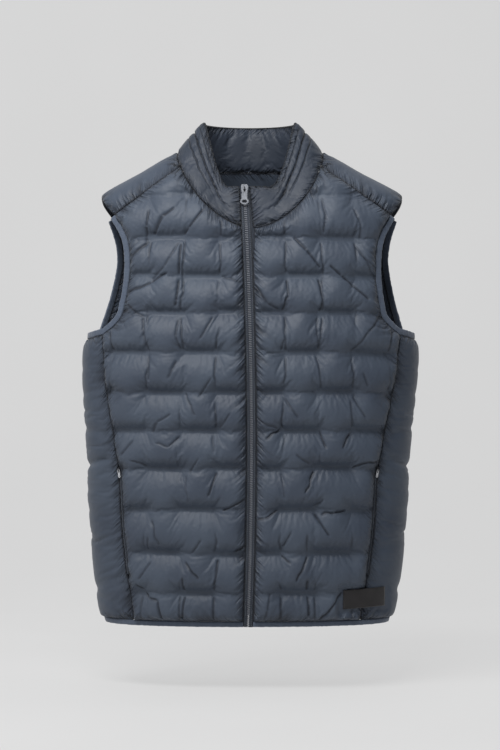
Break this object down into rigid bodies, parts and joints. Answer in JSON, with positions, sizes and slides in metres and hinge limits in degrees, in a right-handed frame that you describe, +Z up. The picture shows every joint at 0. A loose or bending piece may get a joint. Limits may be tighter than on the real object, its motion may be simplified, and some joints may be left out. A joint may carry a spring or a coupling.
{
  "type": "sleeveless jacket",
  "caption": "Quilted sleeveless jacket with a padded stand collar, front zip, side pockets, smooth side panels and elastic-bound armholes and hem, standing hollow as it is worn.",
  "frame": {"origin": "between the shoulder points, at the height where the collar meets the shoulders, where the wearer's shoulders carry it", "axes": "+Z up the worn garment, -Y out of its front, +X towards the wearer's left"},
  "size_m": [0.484, 0.2288, 0.7192],
  "materials": {
    "quilted_nylon": "thin downproof nylon shell with a soft sheen",
    "smooth_nylon": "thin nylon shell, unquilted",
    "elastic_binding": "ribbed elastic binding",
    "zip_tape": "woven zip tape",
    "zip_teeth": "moulded plastic teeth",
    "zip_metal": "polished grey metal",
    "black_label": "woven satin label, bare"
  },
  "bodies": {
    "jacket": {"front_left": "quilted_nylon", "front_right": "quilted_nylon", "back": "quilted_nylon", "side_left": "smooth_nylon", "side_right": "smooth_nylon", "yoke_left": "smooth_nylon", "yoke_right": "smooth_nylon", "collar": "smooth_nylon", "armhole_binding_left": "elastic_binding", "armhole_binding_right": "elastic_binding", "hem_binding": "elastic_binding", "zip_tape_left": "zip_tape", "zip_tape_right": "zip_tape", "zip_teeth": "zip_teeth", "zip_slider": "zip_metal", "pocket_zip_left": "zip_teeth", "pocket_zip_right": "zip_teeth", "pocket_slider_left": "zip_metal", "pocket_slider_right": "zip_metal", "label": "black_label"},
    "main_pull": {"zip_pull": "zip_metal"},
    "left_pull": {"pocket_pull_left": "zip_metal"},
    "right_pull": {"pocket_pull_right": "zip_metal"}
  },
  "joints": [
    {"name": "zip_pull_swing", "type": "hinge", "parent": "jacket", "child": "main_pull", "pos_m": [-0.00847, -0.07644, -0.05545], "axis": [-1, 0, 0], "range_deg": [0, 160]},
    {"name": "left_pocket_pull_swing", "type": "hinge", "parent": "jacket", "child": "left_pull", "pos_m": [0.17979, -0.07066, -0.45208], "axis": [-0.8359, -0.5198, 0.1762], "range_deg": [0, 160]},
    {"name": "right_pocket_pull_swing", "type": "hinge", "parent": "jacket", "child": "right_pull", "pos_m": [-0.18623, -0.07066, -0.45206], "axis": [-0.8381, 0.5206, -0.1629], "range_deg": [0, 160]}
  ]
}
